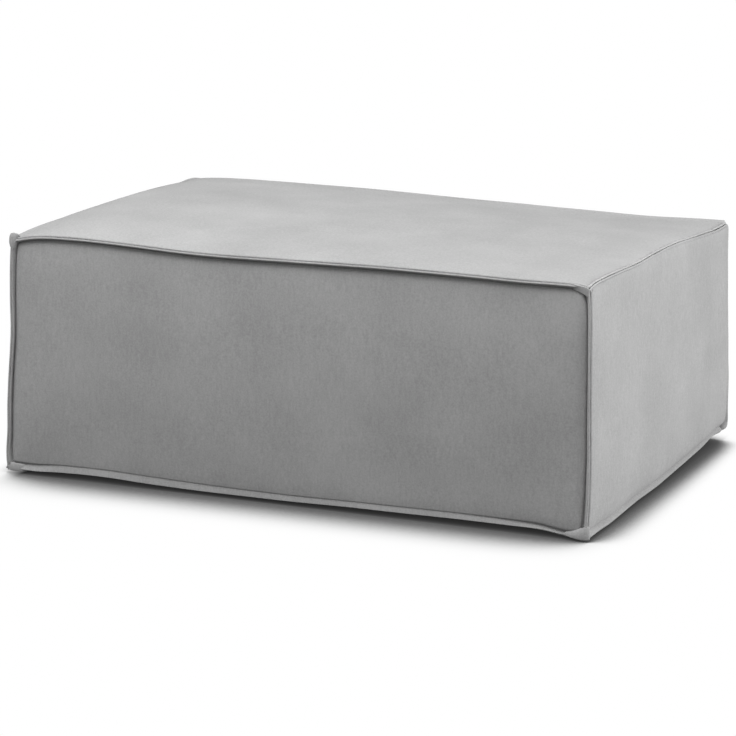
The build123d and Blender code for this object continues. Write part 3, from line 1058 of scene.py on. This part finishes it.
def timber():
    """Sawn pine: long rings drawn out along the grain, with fine pores."""
    made, tree, shader, coordinates = material("timber")
    grain = noise(tree, stretched(tree, coordinates, (0.35, 4.0, 4.0)), 9, 4, 0.6)
    rings = new_node(tree, "TexWave", {"Vector": stretched(tree, coordinates, (0.12, 1.0, 1.0)),
                                       "Scale": 22, "Distortion": 5.0, "Detail": 2.0}).outputs["Fac"]
    tone = maths(tree, "MULTIPLY_ADD", rings, 0.55, maths(tree, "MULTIPLY", grain, 0.5))
    coated(tree, shader, tone, (0.50, 0.31, 0.15), (0.72, 0.52, 0.30), 0.62, tone, 0.0004)
    return made


def woven_webbing():
    """Jute webbing: a plain weave of coarse yarns, a little uneven."""
    made, tree, shader, coordinates = material("webbing")
    values = {"Vector": coordinates, "Scale": 110, "Distortion": 0.6}
    bands = [new_node(tree, "TexWave", values, bands_direction=direction).outputs["Fac"]
             for direction in ("X", "Y")]
    weave = maths(tree, "MULTIPLY", *bands)
    fibre = noise(tree, coordinates, 420, 3)
    tone = maths(tree, "MULTIPLY_ADD", weave, 0.7, maths(tree, "MULTIPLY", fibre, 0.4))
    coated(tree, shader, tone, (0.16, 0.10, 0.05), (0.47, 0.35, 0.20), 0.85, weave, 0.0007)
    return made


def foam_block_finish():
    """Cut foam: pale yellow with fine open cells."""
    made, tree, shader, coordinates = material("foam")
    cells = new_node(tree, "TexVoronoi", {"Vector": coordinates, "Scale": 650}).outputs["Distance"]
    cloud = noise(tree, coordinates, 12, 2)
    tone = maths(tree, "MULTIPLY_ADD", cells, 0.6, maths(tree, "MULTIPLY", cloud, 0.5))
    coated(tree, shader, tone, (0.62, 0.52, 0.29), (0.80, 0.72, 0.48), 0.9, cells, 0.0005)
    return made


def pressed_dust_cloth():
    """Black spun cloth with the small diamond dimples that press its fibres together."""
    made, tree, shader, coordinates = material("dust_cloth")
    values = {"Vector": coordinates, "Scale": 480, "Randomness": 0.15}
    dimples = new_node(tree, "TexVoronoi", values).outputs["Distance"]
    fibre = noise(tree, coordinates, 260, 4, 0.7)
    tone = maths(tree, "MULTIPLY_ADD", dimples, 0.55, maths(tree, "MULTIPLY", fibre, 0.5))
    coated(tree, shader, tone, (0.010, 0.010, 0.011), (0.045, 0.045, 0.048), 0.8, dimples, 0.0003)
    return made


def brushed_metal():
    """Plated steel with fine drawn lines."""
    made, tree, shader, coordinates = material("screw_steel")
    lines = noise(tree, stretched(tree, coordinates, (1, 1, 0.1)), 900, 3)
    shader.inputs["Metallic"].default_value = 1.0
    tree.links.new(mixed(tree, lines, (0.52, 0.52, 0.53), (0.72, 0.72, 0.72)), shader.inputs["Base Color"])
    tree.links.new(placed_values(tree, lines, 0.3, 0.7, 0.25, 0.45), shader.inputs["Roughness"])
    return made


finishes = {
    "cover_cloth": cover_cloth(),
    "timber": timber(),
    "hardboard": speckled("hardboard", (0.19, 0.10, 0.05), (0.33, 0.20, 0.11), 240, 0.6, 0.0002),
    "webbing": woven_webbing(),
    "felt": speckled("felt", (0.14, 0.14, 0.15), (0.42, 0.41, 0.40), 330, 0.95, 0.0006),
    "foam": foam_block_finish(),
    "wadding": speckled("wadding", (0.72, 0.72, 0.71), (0.90, 0.90, 0.89), 90, 0.95, 0.0015, sheen=0.2),
    "dust_cloth": pressed_dust_cloth(),
    "foot_plastic": speckled("foot_plastic", (0.012, 0.012, 0.013), (0.030, 0.030, 0.031), 700, 0.45, 0.0001),
    "screw_steel": brushed_metal(),
}
for piece in bpy.context.scene.objects:
    if "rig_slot" in piece:
        dress(piece, finishes[piece["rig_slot"]])
node_slots = {"rail": "timber", "post": "timber", "block": "timber", "board": "hardboard",
              "foot": "foot_plastic", "screws": "screw_steel"}
for node, piece in frame["nodes"].items():
    for word, slot in node_slots.items():
        if node.endswith(word):
            dress(piece, finishes[slot])


# Floor: how far the object's shade reaches, its level for each level of occlusion,
# and where it ends at the object's left
shade_reach_front, shade_reach_side, shade_reach_back = 0.21, 0.100, 0.065
shade_levels = ((0.05, 0.022), (0.20, 0.052), (0.36, 0.078), (0.485, 0.105), (0.54, 0.155), (0.58, 0.225),
                (0.61, 0.31), (0.645, 0.43), (0.68, 0.55), (0.71, 0.66), (0.74, 0.77), (0.78, 0.865),
                (0.81, 0.925), (0.84, 0.965), (0.88, 0.99))
darkest_shade = 0.015
shade_samples = 24
shade_end_from, shade_end_to = -0.53, -0.60
least_distance = 0.0005
ground_tone = 0.12


def floor_finish():
    """White ground: plain white to the camera, with the object's soft dark shade close round it."""
    made, tree, shader, coordinates = material("white_ground")
    place = new_node(tree, "SeparateXYZ", {"Vector": coordinates}).outputs
    beside = maths(tree, "MAXIMUM", maths(tree, "SUBTRACT", place["X"], half_width), least_distance)
    before = maths(tree, "MAXIMUM", maths(tree, "SUBTRACT", -half_depth, place["Y"]), least_distance)
    squares = maths(tree, "MULTIPLY_ADD", beside, beside, maths(tree, "MULTIPLY", before, before))
    away = maths(tree, "SQRT", squares)
    back = placed_values(tree, place["Y"], -half_depth, half_depth)
    side_reach = maths(tree, "MULTIPLY_ADD", back, shade_reach_back - shade_reach_side, shade_reach_side)
    side_part = maths(tree, "DIVIDE", beside, side_reach)
    front_part = maths(tree, "DIVIDE", before, shade_reach_front)
    parts = maths(tree, "MULTIPLY_ADD", side_part, side_part, maths(tree, "MULTIPLY", front_part, front_part))
    reach = maths(tree, "DIVIDE", away, maths(tree, "SQRT", parts))
    shade = new_node(tree, "AmbientOcclusion", {"Distance": reach}, samples=shade_samples)
    ramp = new_node(tree, "FloatCurve", {"Value": shade.outputs["AO"]})
    curve = ramp.mapping.curves[0]
    for occlusion, level in shade_levels:
        curve.points.new(occlusion, level)
    curve.points[0].location = (0, darkest_shade)
    ramp.mapping.update()
    level = ramp.outputs["Value"]
    clear = placed_values(tree, place["X"], shade_end_from, shade_end_to)
    bright = maths(tree, "MULTIPLY_ADD", clear, maths(tree, "SUBTRACT", 1.0, level), level)
    path = new_node(tree, "LightPath", {}).outputs
    looks = maths(tree, "MAXIMUM", path["Is Camera Ray"], path["Is Glossy Ray"])
    looks = maths(tree, "MAXIMUM", looks, path["Is Transmission Ray"])
    ground = new_node(tree, "BsdfDiffuse", {"Color": (ground_tone, ground_tone, ground_tone, 1)})
    seen = new_node(tree, "Emission", {"Strength": bright})
    mix = new_node(tree, "MixShader", {"Fac": looks, 1: ground.outputs["BSDF"], 2: seen.outputs["Emission"]})
    tree.links.new(mix.outputs["Shader"], tree.nodes["Material Output"].inputs["Surface"])
    tree.nodes.remove(shader)
    return made


deselect()
bpy.ops.mesh.primitive_plane_add(size=24, location=(0, 0, 0))
floor = bpy.context.active_object
floor.name = floor.data.name = "floor"
dress(floor, floor_finish())

# Light: the backdrop is white to the camera and lights the object less
sky_strength, backdrop_strength = 0.36, 1.0
world = bpy.data.worlds.new("studio")
bpy.context.scene.world = world
world.use_nodes = True
sky = world.node_tree.nodes["Background"]
sky.inputs["Color"].default_value = (1, 1, 1, 1)
looking = new_node(world.node_tree, "LightPath", {}).outputs["Is Camera Ray"]
strength = maths(world.node_tree, "MULTIPLY_ADD", looking, backdrop_strength - sky_strength, sky_strength)
world.node_tree.links.new(strength, sky.inputs["Strength"])


def soft_lamp(name, place, size, power):
    """A round lamp that looks at the object."""
    lamp = bpy.data.lights.new(name, "AREA")
    lamp.shape, lamp.size, lamp.energy = "DISK", size, power
    holder = bpy.data.objects.new(name, lamp)
    holder.location = place
    holder.rotation_euler = (Vector(lamp_target) - Vector(place)).to_track_quat("-Z", "Y").to_euler()
    bpy.context.scene.collection.objects.link(holder)


lamp_target = (0, 0, 0.3)
soft_lamp("overhead_lamp", (0.3, -1.45, 3.2), 2.2, 53)
soft_lamp("left_lamp", (-1.3, -1.5, 2.8), 1.8, 55.5)
soft_lamp("right_lamp", (3.6, 0.0, 0.85), 1.8, 97)

# Camera: the photograph's place, seen from the front right and a little above
camera_down, camera_turn = math.radians(12.6655), math.radians(24.1366)
camera_data = bpy.data.cameras.new("camera")
camera_data.lens, camera_data.sensor_width = 143.85, 36
camera_data.clip_end = 50
camera = bpy.data.objects.new("camera", camera_data)
camera.location = (2.10408, -4.74193, 1.33077)
camera.rotation_euler = (math.pi / 2 - camera_down, 0, camera_turn)
bpy.context.scene.collection.objects.link(camera)
bpy.context.scene.camera = camera
bpy.context.scene.view_settings.view_transform = "Standard"
